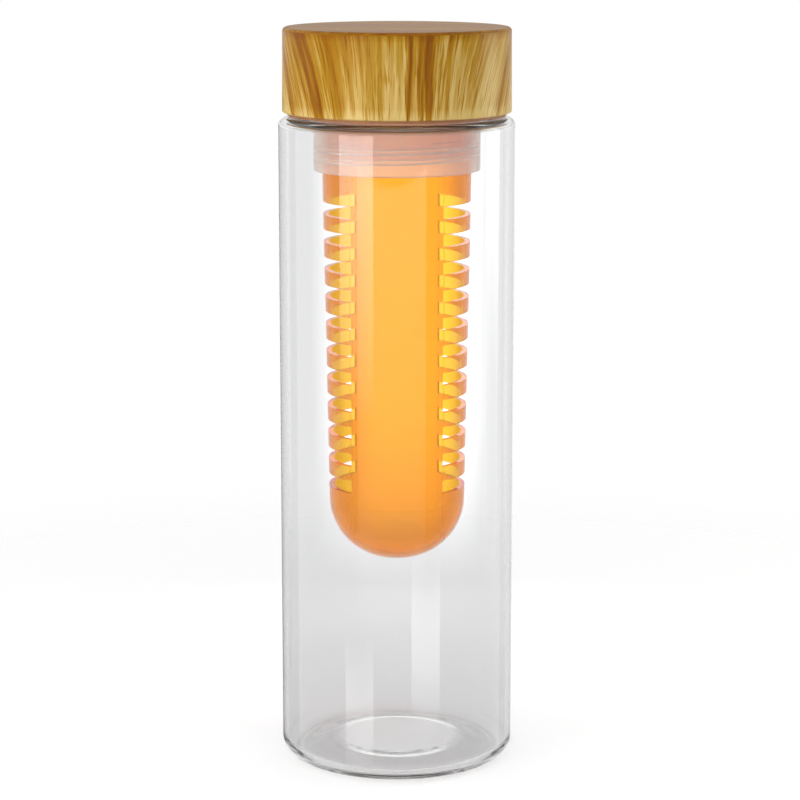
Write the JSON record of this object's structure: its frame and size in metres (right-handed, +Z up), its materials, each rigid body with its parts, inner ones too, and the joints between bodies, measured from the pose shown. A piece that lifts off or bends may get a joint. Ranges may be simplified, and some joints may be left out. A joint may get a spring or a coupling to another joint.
{
  "type": "fruit infuser water bottle",
  "caption": "Clear straight-sided water bottle with a wood-look screw cap and a slotted orange infuser basket hanging from a frosted collar under the cap.",
  "frame": {"origin": "middle of the base, on the plane that the bottle stands on", "axes": "+Z up the bottle's axis to the cap; the basket's slots face +X and -X; -Y is the side the picture shows"},
  "size_m": [0.072, 0.072, 0.2267],
  "materials": {
    "clear_plastic": "clear moulded copolyester, polished",
    "wood_look": "moulded cap with a satin wood-grain finish",
    "dark_liner": "brown moulded polypropylene, darker than the shell",
    "silicone": "translucent white silicone",
    "frosted_plastic": "natural frosted polypropylene",
    "orange_plastic": "transparent orange moulded plastic"
  },
  "bodies": {
    "bottle": {"bottle_body": "clear_plastic"},
    "gasket": {"neck_gasket": "silicone"},
    "lid": {"cap_shell": "wood_look", "cap_liner": "dark_liner", "infuser_collar": "frosted_plastic"},
    "seal": {"basket_seal": "silicone"},
    "basket": {"infuser_basket": "orange_plastic"}
  },
  "joints": [
    {"name": "lid_lift", "type": "slide", "parent": "bottle", "child": "gasket", "axis": [0, 0, 1], "range_m": [0, 0.008]},
    {"name": "lid_turn", "type": "hinge", "parent": "gasket", "child": "lid", "pos_m": [0, 0, 0.2075], "axis": [0, 0, 1], "range_deg": [0, 720]},
    {"name": "basket_drop", "type": "slide", "parent": "lid", "child": "seal", "axis": [0, 0, -1], "range_m": [0, 0.00975]},
    {"name": "basket_turn", "type": "hinge", "parent": "seal", "child": "basket", "pos_m": [0, 0, 0.19], "axis": [0, 0, -1], "range_deg": [0, 1170]}
  ],
  "couplings": [
    {"joint": "lid_lift", "follows": "lid_turn", "m_per_rad": 0.00063662},
    {"joint": "basket_drop", "follows": "basket_turn", "m_per_rad": 0.00047746}
  ]
}
